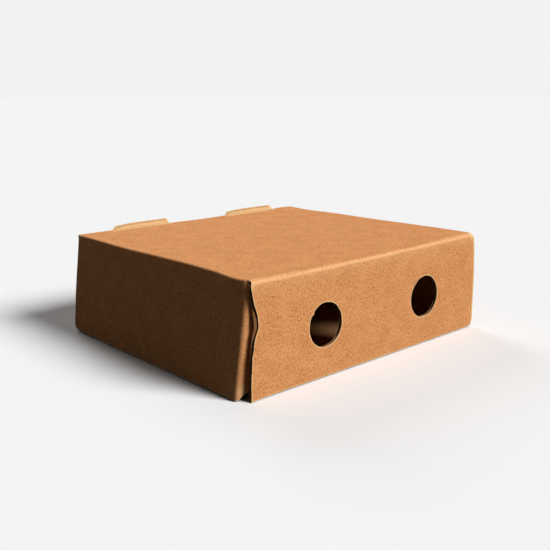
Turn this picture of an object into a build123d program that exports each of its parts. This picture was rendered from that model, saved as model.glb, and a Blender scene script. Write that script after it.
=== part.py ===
from build123d import *
import os

# A small chip box folded from one sheet of kraft corrugated board. X runs along the vented
# front, Y runs to the hinge at the back, Z is up and the tray stands on Z = 0.

# Board and folds
board = 1.6                 # fine flute corrugated board
fold_radius = 2.0           # outer radius of a fold
hinge_round = 1.4           # outer edge of the hinge fold
fold_lap = 0.01             # joins a fold to the flap below it

# Lid, measured outside
lid_width = 155.0           # over the side flaps, just below the top folds
lid_depth = 142.5           # front flap at the table to the back wall
lid_height = 50.3
front_lean = 0.9            # front flap springs out at its lower edge
left_lean = 5.6             # left flap has opened further than the right one
right_lean = 1.2
skirt_clear = 0.5           # lower edges of the lid above the table
corner_flap_length = 24.0   # folded behind the front flap
corner_flap_relief = 3.0    # lower edge of a corner flap cut up from the table
flap_gap = 0.45             # corner flap behind the front flap, at the top
side_flap_back = 2.6        # side flaps stop short of the back wall

# Cut ends of the front flap, from the side faces of the lid
wear_depth = 3.2            # left end worn in to here
wear_height = 31.0          # foot of the worn stretch
wear_step = 1.7
wear_step_drop = 4.0
foot_spread = 0.9           # left end stands out at the table
crush_height = 29.0         # right end is crushed in above here
crush_depth = 1.5           # at the top fold
foot_corner = 2.0           # lower right corner rubbed round

# Fits between lid and tray
side_fit = 0.5
front_fit = 0.5
top_fit = 0.3
hinge_fit = 0.2

# Vents, through the lid's front flap and the tray's front wall
vent_diameter = 20.2
vent_spacing = 70.2
vent_height = 24.6
tray_vent_diameter = 32.0   # larger, so that the lid's vents open straight into the tray

# Tabs left standing on the back wall by the cuts in the hinge fold
tab_length = 36.3
tab_spacing = 79.5
tab_shift = 1.8             # both tabs lie a little to the right
tab_rise = 2.6              # above the lid
tab_corner = 1.3
tab_fit = 0.35              # at each end of a tab

# Tray
tray_front_flap = 22.0
tray_back_flap = 40.0
wall_end_inset = 0.6        # cut ends of the front and back walls, inside the side walls
flap_foot = 0.4             # lower edge of a glued flap above the floor of the tray

# Derived faces
half_width = lid_width / 2
back_y = lid_depth / 2
front_foot_y = -lid_depth / 2
front_head_y = front_foot_y + front_lean
corner_flap_y = front_head_y + board + flap_gap
fold_z = lid_height - fold_radius
tray_half = half_width - board - side_fit
tray_front_y = corner_flap_y + board + front_fit
wall_top = lid_height - board - top_fit
notch_depth = (board**2 + tab_rise**2) ** 0.5 + hinge_fit
inner_front_y = tray_front_y + board
inner_back_y = back_y - board

# Tray: floor with front and back walls, bent as one strip
with BuildPart() as tray:
    with BuildSketch(Plane.YZ):
        with BuildLine():
            FilletPolyline(
                (tray_front_y, wall_top),
                (tray_front_y, 0),
                (back_y, 0),
                (back_y, wall_top),
                radius=fold_radius,
            )
            offset(amount=board, side=Side.LEFT)
        make_face()
    extrude(amount=tray_half - wall_end_inset, both=True)

    # Side walls bent up from the floor
    with BuildSketch(Plane.XZ.offset(-(inner_back_y - fold_radius))):
        with BuildLine():
            FilletPolyline(
                (-tray_half, wall_top),
                (-tray_half, 0),
                (tray_half, 0),
                (tray_half, wall_top),
                radius=fold_radius,
            )
            offset(amount=board, side=Side.LEFT)
        make_face()
    extrude(amount=inner_back_y - inner_front_y - 2 * fold_radius)

    # Flaps at both ends of each side wall, glued inside the front and back walls
    with BuildSketch(Plane.XY.offset(board + flap_foot)) as tray_flaps:
        with BuildLine():
            FilletPolyline(
                (-tray_half + tray_back_flap, inner_back_y),
                (-tray_half, inner_back_y),
                (-tray_half, inner_front_y),
                (-tray_half + tray_front_flap, inner_front_y),
                radius=fold_radius,
            )
            offset(amount=board, side=Side.LEFT)
        make_face()
        mirror(about=Plane.YZ)
    extrude(amount=wall_top - board - flap_foot)

    # Stand up tabs on the back wall
    with BuildSketch(Plane.XZ.offset(-back_y)) as tab_shape:
        with Locations((tab_shift - tab_spacing / 2, wall_top), (tab_shift + tab_spacing / 2, wall_top)):
            Rectangle(
                tab_length,
                lid_height + tab_rise - wall_top,
                align=(Align.CENTER, Align.MIN),
            )
        fillet(tab_shape.vertices().group_by(Axis.Z)[-1], tab_corner)
    extrude(amount=board)

    # Vents in the front wall
    with BuildSketch(Plane.XZ.offset(-inner_front_y)):
        with Locations((-vent_spacing / 2, vent_height), (vent_spacing / 2, vent_height)):
            Circle(tray_vent_diameter / 2)
    extrude(amount=board, mode=Mode.SUBTRACT)

# Front flap of the lid, a leaning strip trimmed to its worn outline
with BuildPart() as front_flap:
    with BuildSketch(Plane.YZ):
        with BuildLine():
            Polyline(
                (front_head_y, fold_z),
                (front_foot_y, skirt_clear),
                (front_foot_y + board, skirt_clear),
                (front_head_y + board, fold_z),
                close=True,
            )
        make_face()
    extrude(amount=half_width + fold_radius, both=True)
    with BuildSketch(Plane.XZ.offset(-front_foot_y - 2 * board)):
        with BuildLine():
            worn = Spline(
                (-half_width, fold_z),
                (-half_width + wear_depth, wear_height),
                tangents=[(0.15, -1), (0, -1)],
            )
            step = Line(worn @ 1, worn @ 1 + (-wear_step, -wear_step_drop))
            lower = Spline(
                step @ 1,
                (-half_width - foot_spread, skirt_clear),
                tangents=[(-0.2, -1), (0, -1)],
            )
            foot = Line(lower @ 1, (half_width + right_lean - foot_corner, skirt_clear))
            rubbed = JernArc(foot @ 1, foot % 1, foot_corner, 90)
            right_end = Line(rubbed @ 1, (half_width + right_lean, crush_height))
            crushed = Spline(
                right_end @ 1,
                (half_width - crush_depth, fold_z),
                tangents=[(0, 1), (-0.35, 1)],
            )
            Line(crushed @ 1, worn @ 0)
        make_face()
        with Locations((-vent_spacing / 2, vent_height), (vent_spacing / 2, vent_height)):
            Circle(vent_diameter / 2, mode=Mode.SUBTRACT)
    extrude(amount=4 * board, both=True, mode=Mode.INTERSECT)

# Lid: top panel bent down into the front flap
with BuildPart() as lid:
    with BuildSketch(Plane.YZ):
        with BuildLine():
            FilletPolyline(
                (back_y, lid_height),
                (front_head_y, lid_height),
                (front_head_y, fold_z - fold_lap),
                radius=fold_radius,
            )
            offset(amount=board, side=Side.LEFT)
        make_face()
    extrude(amount=half_width - fold_radius, both=True)
    fillet(lid.edges().filter_by(Axis.X).group_by(Axis.Y)[-1].sort_by(Axis.Z)[-1], hinge_round)
    add(front_flap.part)

    # Folds along both sides of the top panel
    with BuildSketch(Plane.XZ.offset(-(back_y - side_flap_back))):
        with BuildLine():
            FilletPolyline(
                (half_width - 2 * fold_radius, lid_height),
                (half_width, lid_height),
                (half_width, fold_z - fold_lap),
                radius=fold_radius,
            )
            offset(amount=board, side=Side.RIGHT)
        make_face()
        mirror(about=Plane.YZ)
    extrude(amount=back_y - side_flap_back - corner_flap_y - fold_radius)

    # Side flaps, each with a corner flap turned behind the front flap and cut clear of the table
    for side, lean in ((-1, left_lean), (1, right_lean)):
        with BuildSketch(Plane.XY.offset(fold_z)):
            with BuildLine():
                FilletPolyline(
                    (side * half_width, back_y - side_flap_back),
                    (side * half_width, corner_flap_y),
                    (side * (half_width - corner_flap_length), corner_flap_y),
                    radius=fold_radius,
                )
                offset(amount=board, side=Side.LEFT if side < 0 else Side.RIGHT)
            make_face()
        slant = Vector(side * lean, 0, skirt_clear - fold_z)
        extrude(amount=slant.length, dir=slant)
        with BuildSketch(Plane.XZ.offset(-corner_flap_y - board)):
            with BuildLine():
                Polyline(
                    (side * (half_width + lean), skirt_clear),
                    (side * (half_width + lean - 2 * fold_radius), corner_flap_relief),
                    (side * (half_width - corner_flap_length), corner_flap_relief),
                    (side * (half_width - corner_flap_length), skirt_clear),
                    close=True,
                )
            make_face()
        extrude(amount=board, mode=Mode.SUBTRACT)

    # Notches round the stand up tabs
    with BuildSketch(Plane.XY.offset(lid_height - board)):
        with Locations((tab_shift - tab_spacing / 2, back_y), (tab_shift + tab_spacing / 2, back_y)):
            Rectangle(
                tab_length + 2 * tab_fit,
                notch_depth,
                align=(Align.CENTER, Align.MAX),
            )
    extrude(amount=board, mode=Mode.SUBTRACT)

tray.part.label = "tray"
lid.part.label = "lid"

os.makedirs("parts", exist_ok=True)
export_step(tray.part, "parts/tray.step")
export_step(lid.part, "parts/lid.step")
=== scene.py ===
"""Chip box of brown kraft corrugated board, folded from flat blanks with liners, flutes and cut edges."""

import logging
import math
from collections.abc import Callable, Iterable
from dataclasses import dataclass, field
from enum import Enum, IntEnum
from functools import partial

import bpy
import numpy as np
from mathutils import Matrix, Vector, noise


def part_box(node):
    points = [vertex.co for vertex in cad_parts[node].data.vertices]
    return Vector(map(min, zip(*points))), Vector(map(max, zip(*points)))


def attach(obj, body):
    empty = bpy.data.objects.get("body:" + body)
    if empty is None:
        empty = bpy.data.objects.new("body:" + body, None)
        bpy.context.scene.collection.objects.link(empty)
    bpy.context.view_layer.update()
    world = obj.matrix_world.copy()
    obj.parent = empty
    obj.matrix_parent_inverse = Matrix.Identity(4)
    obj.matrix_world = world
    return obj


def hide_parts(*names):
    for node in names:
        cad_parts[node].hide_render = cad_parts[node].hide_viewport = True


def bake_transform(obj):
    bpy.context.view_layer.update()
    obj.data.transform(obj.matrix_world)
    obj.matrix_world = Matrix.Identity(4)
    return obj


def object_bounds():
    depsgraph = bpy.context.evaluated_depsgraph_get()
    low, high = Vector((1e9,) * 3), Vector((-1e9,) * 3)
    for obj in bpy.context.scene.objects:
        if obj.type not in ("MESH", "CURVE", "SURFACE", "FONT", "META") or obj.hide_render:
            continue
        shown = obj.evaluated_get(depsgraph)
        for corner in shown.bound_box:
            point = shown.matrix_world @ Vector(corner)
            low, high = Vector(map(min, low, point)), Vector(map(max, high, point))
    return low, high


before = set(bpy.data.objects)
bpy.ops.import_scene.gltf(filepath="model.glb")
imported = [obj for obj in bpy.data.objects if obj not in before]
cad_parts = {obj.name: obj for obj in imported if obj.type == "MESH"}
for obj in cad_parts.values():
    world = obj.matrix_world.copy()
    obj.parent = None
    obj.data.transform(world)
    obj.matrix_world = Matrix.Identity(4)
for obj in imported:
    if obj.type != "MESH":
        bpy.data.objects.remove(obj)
CAD_LOW, CAD_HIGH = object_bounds()

LOG = logging.getLogger("chip_box")
MM = 0.001
BLANK_UV = "blank"
# Name of the attribute for the pale mix: wear, and painted highlight on folds and corners.
WEAR_AND_HIGHLIGHT = "rub"
QUARTER = math.pi / 2
NEAR = 1e-6              # lines of a blank this close, in millimetres, are one line
SHARP_TURN = 42.0        # faces that meet at more degrees than this keep a sharp edge
CORE_SHARE = 0.5         # the fluted core, between the outer liner at 0 and the inner one at 1

Tree = bpy.types.NodeTree
Socket = bpy.types.NodeSocket
Array = np.ndarray
Places = tuple[Array, Array]
Shape = Callable[[Array, Array], Places]
Skip = Callable[[float, float], bool]
Place = Callable[[Array, Array, Array], Array]


def linear(colour: str) -> tuple[float, float, float, float]:
    """Turns an sRGB hex colour to linear light.

    Args:
        colour: Six hex digits after a hash sign.

    Returns:
        Linear red, green, blue and an alpha of one.
    """
    parts = [int(colour[i:i + 2], 16) / 255 for i in (1, 3, 5)]
    red, green, blue = (p / 12.92 if p <= 0.04045 else ((p + 0.055) / 1.055) ** 2.4 for p in parts)
    return red, green, blue, 1.0


def add_node(tree: Tree, kind: str, inputs: dict | None = None,
             **settings: object) -> bpy.types.Node:
    """Adds a node with its settings and links.

    Args:
        tree: The tree that gets the node.
        kind: Blender's name of the node type.
        inputs: A value, a socket to link or a list of sockets for each input's name or number.
        **settings: Properties of the node.

    Returns:
        The new node.
    """
    node = tree.nodes.new(kind)
    for name, value in settings.items():
        setattr(node, name, value)
    for key, value in (inputs or {}).items():
        for item in value if isinstance(value, list) else [value]:
            if isinstance(item, Socket):
                tree.links.new(item, node.inputs[key])
            else:
                node.inputs[key].default_value = item
    return node


def ease(start: float, stop: float, value: Array) -> Array:
    """Rises smoothly from 0 at start to 1 at stop.

    Args:
        start: Where the rise begins.
        stop: Where it ends, which may be the lower of the two.
        value: Where to read it.

    Returns:
        The eased share.
    """
    share = np.clip((value - start) / (stop - start), 0.0, 1.0)
    return share * share * (3.0 - 2.0 * share)


def ruled(*spans: tuple[float, float, float]) -> Array:
    """Rules lines across neighbouring spans.

    Args:
        *spans: Start, stop and wanted spacing of each span, in rising order.

    Returns:
        Every line once, in rising order.
    """
    lines = [np.array([spans[0][0]])]
    for start, stop, step in spans:
        count = max(1, round((stop - start) / step))
        lines.append(np.linspace(start, stop, count + 1)[1:])
    return np.concatenate(lines)


def marked(lines: Array, marks: Iterable[float]) -> Array:
    """Moves the nearest inner line onto each mark that lies among the lines.

    Args:
        lines: Lines in rising order.
        marks: Places that need a line.

    Returns:
        The lines, with as many as before.
    """
    moved = lines.copy()
    for mark in marks:
        if moved[0] < mark < moved[-1]:
            moved[1 + np.argmin(np.abs(moved[1:-1] - mark))] = mark
    return moved


def between(lines: Array, low: float, high: float) -> Array:
    """Returns the lines from low to high, with those two."""
    return lines[(lines > low - NEAR) & (lines < high + NEAR)]


def ripple(values: Array, wave: float, seed: float) -> Array:
    """Gives a smooth uneven line between about -1 and 1.

    Args:
        values: Places along the line, in millimetres.
        wave: Length of one rise and fall.
        seed: Picks the line.

    Returns:
        The height of the line at each place.
    """
    flat = np.ravel(values)
    # The last coordinate is half a cell off the noise's lattice, where it would be zero.
    heights = [noise.noise(Vector((value / wave, seed, 0.5))) for value in flat]
    return np.array(heights).reshape(np.shape(values))


class Layer(Enum):
    """The two liners of the board, with how far each lies from outside (0) to inside (1)."""

    OUTER = 0.0
    INNER = 1.0


class Side(Enum):
    """The two ends of the box along its width."""

    LEFT = -1.0
    RIGHT = 1.0


class Paper(IntEnum):
    """Order of a liner mesh's material slots."""

    OUTSIDE = 0
    INSIDE = 1
    FLUTE_SIDE = 2
    CUT = 3


@dataclass(frozen=True)
class PaperFinish:
    """What the board's papers share: two tones, a fine relief and hardly any sheen."""

    name: str
    light: str
    dark: str
    bump_mm: float = 0.035
    relief: float = 0.5
    roughness: float = 0.9
    specular: float = 0.12
    ior: float = 1.5

    def start(self) -> bpy.types.Material:
        """Starts the material.

        Returns:
            The material, with an empty tree.
        """
        made = bpy.data.materials.new(self.name)
        made.use_nodes = True
        made.node_tree.nodes.clear()
        return made

    def toned(self, tree: Tree, pattern: Socket, span: tuple[float, float]) -> Socket:
        """Colours a pattern between the two tones.

        Args:
            tree: The material's tree.
            pattern: The pattern.
            span: The pattern's values that are all dark and all light.

        Returns:
            The colour.
        """
        share = add_node(tree, "ShaderNodeMapRange", {
            "Value": pattern, "From Min": span[0], "From Max": span[1]}).outputs[0]
        return add_node(tree, "ShaderNodeMix", {
            0: share, 6: linear(self.dark), 7: linear(self.light)}, data_type="RGBA").outputs[2]

    def surface(self, tree: Tree, colour: Socket, height: Socket) -> None:
        """Ends the tree in a matt surface.

        Args:
            tree: The material's tree.
            colour: The paper's colour.
            height: The pattern that stands up from the sheet.
        """
        bump = add_node(tree, "ShaderNodeBump", {
            "Height": height, "Strength": self.relief, "Distance": self.bump_mm * MM})
        shader = add_node(tree, "ShaderNodeBsdfPrincipled", {
            "Base Color": colour, "Roughness": self.roughness, "IOR": self.ior,
            "Specular IOR Level": self.specular, "Normal": bump.outputs["Normal"]})
        add_node(tree, "ShaderNodeOutputMaterial", {"Surface": shader.outputs["BSDF"]})


@dataclass(frozen=True)
class KraftLiner(PaperFinish):
    """Unbleached kraft linerboard: matt, with soft clouds, short fibres and a few dark flecks."""

    fleck: str = "#7A4C2A"
    # Pale colour mixed in for worn paper, and as painted highlight on folds and corners.
    wear_and_highlight_colour: str = "#F3CB94"
    cloud_mm: float = 9.0
    cloud_share: float = 0.35
    grain_mm: float = 0.85
    fibre_width_mm: float = 0.5
    fibre_length_mm: float = 2.2
    fibre_share: float = 0.5
    tone_span: tuple[float, float] = (0.73, 1.12)
    fleck_mm: float = 1.2
    fleck_span: tuple[float, float] = (0.64, 0.72)
    fleck_strength: float = 0.6

    def material(self) -> bpy.types.Material:
        """Makes the paper.

        Returns:
            The material, laid out on the flat blank so that the pattern follows the folds.
        """
        made = self.start()
        tree = made.node_tree
        sheet = add_node(tree, "ShaderNodeUVMap", uv_map=BLANK_UV).outputs["UV"]
        # Clouds are the uneven spread of pulp, seen as slow changes of tone.
        clouds = add_node(tree, "ShaderNodeTexNoise", {
            "Vector": sheet, "Scale": 1 / (self.cloud_mm * MM), "Detail": 4.0, "Roughness": 0.6})
        # Fibres are drawn wider than the real hundredths of a millimetre, so that they show.
        lie = add_node(tree, "ShaderNodeMapping", {"Vector": sheet, "Scale": (
            1 / (self.fibre_width_mm * MM), 1 / (self.fibre_length_mm * MM), 1.0)})
        fibres = add_node(tree, "ShaderNodeTexNoise", {
            "Vector": lie.outputs["Vector"], "Scale": 1.0, "Detail": 3.0, "Roughness": 0.7})
        # Grain is the felt of the sheet, drawn at the smallest size that the picture can hold.
        grain = add_node(tree, "ShaderNodeTexNoise", {
            "Vector": sheet, "Scale": 1 / (self.grain_mm * MM), "Detail": 2.0, "Roughness": 0.65})
        felt = add_node(tree, "ShaderNodeMath", {
            0: fibres.outputs["Fac"], 1: self.fibre_share, 2: grain.outputs["Fac"]},
            operation="MULTIPLY_ADD").outputs[0]
        pulp = add_node(tree, "ShaderNodeMath", {
            0: clouds.outputs["Fac"], 1: self.cloud_share, 2: felt}, operation="MULTIPLY_ADD").outputs[0]
        body = self.toned(tree, pulp, self.tone_span)
        # Flecks are specks of bark, dark and far apart.
        flecks = add_node(tree, "ShaderNodeTexNoise", {
            "Vector": sheet, "Scale": 1 / (self.fleck_mm * MM), "Detail": 1.0})
        flecked = add_node(tree, "ShaderNodeMapRange", {
            "Value": flecks.outputs["Fac"], "From Min": self.fleck_span[0], "From Max": self.fleck_span[1],
            "To Max": self.fleck_strength})
        spotted = add_node(tree, "ShaderNodeMix", {
            0: flecked.outputs[0], 6: body, 7: linear(self.fleck)}, data_type="RGBA")
        # Folds, edges and corners are mixed towards a pale colour: partly wear, paler where the fibres stand
        # up, and partly painted highlight on folds and corners.
        rub = add_node(tree, "ShaderNodeAttribute", attribute_name=WEAR_AND_HIGHLIGHT)
        wear_and_highlight_amount = add_node(tree, "ShaderNodeMath", {
            0: rub.outputs["Fac"], 1: fibres.outputs["Fac"]}, operation="MULTIPLY")
        colour = add_node(tree, "ShaderNodeMix", {
            0: wear_and_highlight_amount.outputs[0], 6: spotted.outputs[2], 7: linear(self.wear_and_highlight_colour)}, data_type="RGBA")
        self.surface(tree, colour.outputs[2], felt)
        return made


@dataclass(frozen=True)
class RawPaper(PaperFinish):
    """Paper with its fibres open: the fluted middle, or a cut edge. Rougher than the liner."""

    relief: float = 0.6
    roughness: float = 0.92
    specular: float = 0.2
    grain_mm: float = 0.8
    tone_span: tuple[float, float] = (0.33, 0.67)

    def material(self) -> bpy.types.Material:
        """Makes the paper.

        Returns:
            The material, with a broken grain that is the same size on every face.
        """
        made = self.start()
        tree = made.node_tree
        place = add_node(tree, "ShaderNodeTexCoord").outputs["Object"]
        # Grain is the torn fibres, which catch the light as a fine fuzz.
        grain = add_node(tree, "ShaderNodeTexNoise", {
            "Vector": place, "Scale": 1 / (self.grain_mm * MM), "Detail": 4.0, "Roughness": 0.7})
        self.surface(tree, self.toned(tree, grain.outputs["Fac"], self.tone_span), grain.outputs["Fac"])
        return made


@dataclass(frozen=True)
class Stock:
    """The papers that the board is made of."""

    outside: bpy.types.Material
    inside: bpy.types.Material
    back: bpy.types.Material
    flute: bpy.types.Material
    cut: bpy.types.Material

    def slots(self) -> list[bpy.types.Material]:
        """Returns the materials of a liner in the order of Paper."""
        return [self.outside, self.inside, self.back, self.cut]


@dataclass(frozen=True)
class Board:
    """Fine flute board, in millimetres."""

    thickness: float = 1.6
    liner: float = 0.26
    paper: float = 0.2
    pitch: float = 3.3
    skew: float = 0.02
    fold_radius: float = 2.0

    def depths(self, layer: Layer) -> tuple[float, float]:
        """Finds a liner's two faces.

        Args:
            layer: Which liner.

        Returns:
            How deep its near and far faces lie under the outside.
        """
        if layer is Layer.OUTER:
            return 0.0, self.liner
        return self.thickness - self.liner, self.thickness


@dataclass(frozen=True)
class Dent:
    """A soft push in the finished box, strongest at its centre, in millimetres."""

    centre: tuple[float, float, float]
    push: tuple[float, float, float]
    reach: tuple[float, float, float]

    def shift(self, points: Array) -> Array:
        """Returns how far each point is pushed."""
        away = (points - np.array(self.centre)) / np.array(self.reach)
        return np.exp(-(away ** 2).sum(axis=1))[:, None] * np.array(self.push)


@dataclass(frozen=True)
class ScuffAndHighlight:
    """A pale spot, most at its centre, in millimetres: partly wear, partly a painted highlight on a lit
    corner.
    """

    centre: tuple[float, float, float]
    reach: float
    amount: float

    def rub(self, points: Array) -> Array:
        """Returns how far each point is mixed towards the pale colour of wear and painted highlight."""
        away = np.linalg.norm(points - np.array(self.centre), axis=1) / self.reach
        return self.amount * np.exp(-away ** 2)


@dataclass(frozen=True)
class Warp:
    """The slight waviness of handled card, the same for every layer that lies at one place."""

    height: float = 0.22
    wave: float = 34.0
    foot_fade: float = 12.0
    back_line: float = CAD_HIGH.y / MM
    back_fade: float = 12.0
    seed: int = 7

    def shift(self, points: Array) -> Array:
        """Moves points in and out, but not at the foot or the hinge.

        Args:
            points: Places in millimetres.

        Returns:
            The shift of each point.
        """
        noise.seed_set(self.seed)
        moves = np.array([noise.noise_vector(Vector(point / self.wave)) for point in points])
        calm = ease(0.0, self.foot_fade, points[:, 2])
        calm = calm * ease(self.back_line, self.back_line - self.back_fade, points[:, 1])
        return moves * calm[:, None] * self.height


@dataclass
class FoldedSheet:
    """A panel with flaps folded down from its edges, and corner flaps at the ends of the side flaps.

    The panel's outer face is at height 0, facing up. Places on the sheet are those of the flat blank.
    """

    board: Board
    half_width: float
    front: float
    back: float
    corner_front: float
    corner_back: float
    left_lean: float = 0.0
    right_lean: float = 0.0
    front_lean: float = 0.0
    back_lean: float = 0.0
    side_radius: float = 2.0
    corner_radius: float = 2.0
    corner_soft: float = 0.0
    corner_open: float = 0.0
    corner_fall: float = 47.0
    corner_settle: float = 5.0
    slit_share: float = 0.06
    # Pale bands on the folds and just below the end folds: partly wear, partly painted highlight.
    end_wear_and_highlight: float = 0.6
    end_low: float = 1.5
    end_scuff_and_highlight: float = 0.34
    scuff_and_highlight_reach: float = 9.0
    side_wear_and_highlight: float = 0.15

    def side_lean(self, side: Side) -> float:
        """Returns the lean of a side flap."""
        return self.left_lean if side is Side.LEFT else self.right_lean

    def arc(self, lean: float, side: bool = False) -> float:
        """Returns the length of the outer liner round an end fold, or round a side fold."""
        return (self.side_radius if side else self.board.fold_radius) * (QUARTER - lean)

    def run(self, lean: float, drop: float, side: bool = False) -> float:
        """Measures the sheet from a fold's start down to the foot of a flap.

        Args:
            lean: The flap's lean.
            drop: How far the foot lies below the panel.
            side: Whether it is a side flap.

        Returns:
            The length of the sheet.
        """
        radius = self.side_radius if side else self.board.fold_radius
        return self.arc(lean, side) + (drop - radius * (1 - math.sin(lean))) / math.cos(lean)

    def ear(self) -> float:
        """Returns the half width of the blank at which the corner flaps begin."""
        return self.half_width + max(self.arc(0.0, True) * (1 + self.slit_share),
                                     self.corner_soft * (1 - self.slit_share))

    def bend(self, length: Array, turn: Array, radius: float) -> tuple[Array, Array, Array]:
        """Runs along a flap round its fold.

        Args:
            length: Length of sheet past the fold's start.
            turn: Full turn of the fold.
            radius: Outer radius of the fold.

        Returns:
            Reach out from the fold's start, drop below it, and the turn of the outer face.
        """
        angle = np.minimum(length / radius, turn)
        rest = np.maximum(length - radius * turn, 0.0)
        out = radius * np.sin(angle) + rest * np.cos(turn)
        drop = radius * (1 - np.cos(angle)) + rest * np.sin(turn)
        return out, drop, angle

    def on_wing(self, x: Array, y: Array) -> Array:
        """Returns which places lie on a side flap or its corner flap."""
        ends = (y < self.front) | (y > self.back)
        return (np.abs(x) > self.half_width) & ~(ends & (np.abs(x) < self.ear()))

    def corner_turn(self, reach: Array) -> Array:
        """Finds how far a corner flap turns, less close to the panel where the sheet is still whole.

        Args:
            reach: Length of sheet out from the panel.

        Returns:
            The full turn.
        """
        if not self.corner_soft:
            return np.full_like(reach, QUARTER)
        return QUARTER * ease(0.0, self.corner_soft, reach)

    def corner_gape(self, reach: Array) -> Array:
        """Returns how far a corner fold has sprung open, none at the panel and all of it lower down."""
        return self.corner_open * ease(self.corner_soft, self.corner_soft + self.corner_fall, reach)

    def corner_past(self, reach: Array, y: Array) -> Array:
        """Measures on from a corner fold's start, which lies further back where the fold gapes.

        Args:
            reach: Length of sheet out from the panel.
            y: Places along the blank.

        Returns:
            The length of sheet past the fold's start, below zero where it isn't reached.
        """
        gape = self.corner_gape(reach)
        slack = self.corner_settle * gape - self.corner_radius * (1 - np.cos(gape))
        return np.maximum(self.corner_front + slack - y, y - self.corner_back)

    def corner_bend(self, reach: Array, past: Array) -> tuple[Array, Array, Array]:
        """Runs along a corner flap round its fold and on until it lies flat behind the end flap.

        Args:
            reach: Length of sheet out from the panel.
            past: Length of sheet past the fold's start.

        Returns:
            Reach on from the fold's start, drop behind the side flap, and the turn of the outer face.
        """
        full, gape, radius = self.corner_turn(reach), self.corner_gape(reach), self.corner_radius
        turn = full - gape
        angle = np.minimum(past / radius, turn)
        rest = np.maximum(past - radius * turn, 0.0)
        left = np.exp(-rest / self.corner_settle)
        out = radius * np.sin(angle) + rest * np.cos(full) + self.corner_settle * gape * (1 - left)
        drop = radius * (1 - np.cos(angle)) + rest * np.sin(full)
        return out, drop, np.where(rest > 0, full - gape * left, angle)

    def place(self, x: Array, y: Array, depth: Array) -> Array:
        """Folds places of the blank up into the sheet.

        Args:
            x: Places across the blank.
            y: Places along the blank.
            depth: How deep each place lies under the outer face.

        Returns:
            Points in millimetres, one in each row.
        """
        zero = np.zeros_like(x)
        wing = self.on_wing(x, y)
        side = np.sign(x)
        turn = QUARTER - np.where(side < 0, self.left_lean, self.right_lean)
        reach = np.where(wing, np.abs(x) - self.half_width, 0.0)
        out, drop, angle = self.bend(reach, turn, self.side_radius)
        past = np.maximum(self.corner_past(reach, y), 0.0)
        heading = np.where(y < 0.0, -1.0, 1.0)
        corner_out, corner_drop, corner_angle = self.corner_bend(reach, past)
        normal = np.stack((side * np.sin(angle), zero, np.cos(angle)), axis=1)
        along = np.stack((zero, heading, zero), axis=1)
        base = np.stack((side * (self.half_width + out), y - heading * past, -drop), axis=1)
        facing = normal * np.cos(corner_angle)[:, None] + along * np.sin(corner_angle)[:, None]
        wings = base + along * corner_out[:, None] - normal * corner_drop[:, None] - facing * depth[:, None]

        past = np.maximum(np.maximum(self.front - y, y - self.back), 0.0)
        heading = np.where(y < self.front, -1.0, 1.0)
        turn = QUARTER - np.where(y < self.front, self.front_lean, self.back_lean)
        out, drop, angle = self.bend(past, turn, self.board.fold_radius)
        ends = np.stack((x, np.clip(y, self.front, self.back) + heading * (out - depth * np.sin(angle)),
                         -drop - depth * np.cos(angle)), axis=1)
        return np.where(wing[:, None], wings, ends)

    def rub(self, x: Array, y: Array) -> Array:
        """Paints the folds pale, and the end flaps a little below theirs: partly wear, partly painted
        highlight.

        Args:
            x: Places across the blank.
            y: Places along the blank.

        Returns:
            How far each place is mixed towards the pale colour.
        """
        radius = self.board.fold_radius
        wing = self.on_wing(x, y)
        side = np.where(wing, np.abs(x) - self.half_width, 0.0)
        corner = np.where(wing, self.corner_past(side, y), 0.0)
        end = np.where(wing, 0.0, np.maximum(self.front - y, y - self.back))
        # Folds are painted pale: partly wear, partly painted highlight.
        wear_and_highlight_amount = np.zeros_like(x)
        for length, bend in ((side, self.side_radius), (corner, self.corner_radius)):
            share = np.clip(length / (bend * QUARTER), 0.0, 1.0)
            wear_and_highlight_amount = np.maximum(wear_and_highlight_amount, np.sin(share * math.pi) * self.side_wear_and_highlight)
        share = np.clip(end / (radius * QUARTER), 0.0, 1.0)
        scuff_and_highlight_amount = self.end_scuff_and_highlight * ease(self.scuff_and_highlight_reach, 0.0, end) * ease(0.0, 1.0, share)
        return np.maximum(wear_and_highlight_amount, np.sin(share ** self.end_low * math.pi) ** 2 * self.end_wear_and_highlight + scuff_and_highlight_amount)


@dataclass
class Shell:
    """A closed mesh in the making."""

    points: Array
    blank: Array
    wear_and_highlight_amount: Array
    faces: list[tuple[int, ...]]
    papers: list[int]


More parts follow.
